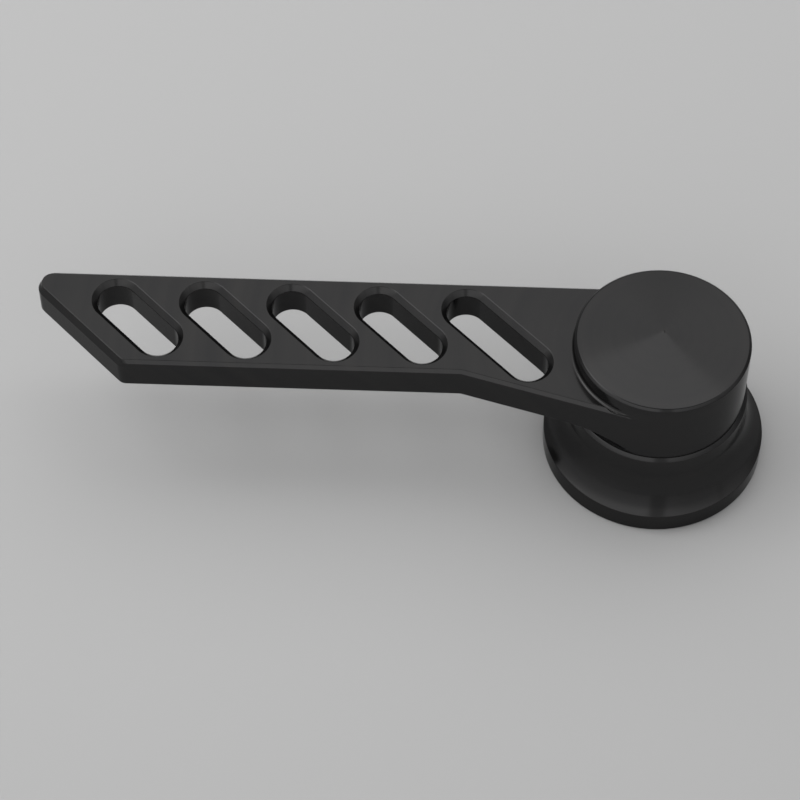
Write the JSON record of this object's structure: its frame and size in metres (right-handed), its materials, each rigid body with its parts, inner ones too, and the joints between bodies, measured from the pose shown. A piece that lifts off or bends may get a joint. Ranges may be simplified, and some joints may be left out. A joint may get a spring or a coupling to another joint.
{
  "type": "door lever handle",
  "caption": "Inside door lever handle: a flat arm with slanting slots and a slanting tip runs to a round head and hub, which turn on a flared base and clamp on a serrated spindle.",
  "frame": {"origin": "on the lever's turning axis, in the plane of the base's underside, where the handle meets the door", "axes": "+Z out of the door along the turning axis, -X along the arm towards its tip, +Y away from the arm's wider edge, on the set screw's side"},
  "size_m": [0.134, 0.0406, 0.034],
  "materials": {
    "anodised_lever": "satin black anodised",
    "anodised_base": "satin black anodised",
    "bush_plastic": "natural nylon",
    "spring_steel": "phosphated spring steel",
    "plated_steel": "zinc plated",
    "insert_steel": "machined, lightly oiled",
    "screw_steel": "black oxide"
  },
  "bodies": {
    "base": {"flared_base": "anodised_base", "pivot_bush": "bush_plastic"},
    "lever": {"lever": "anodised_lever", "drive_insert": "insert_steel", "set_screw": "screw_steel", "retaining_ring": "spring_steel", "thrust_washer": "plated_steel", "wave_washer": "spring_steel"}
  },
  "joints": [
    {"name": "lever_turn", "type": "hinge", "parent": "base", "child": "lever", "pos_m": [0, 0, 0.0171], "axis": [0, 0, 1], "range_deg": [-45, 45]}
  ]
}
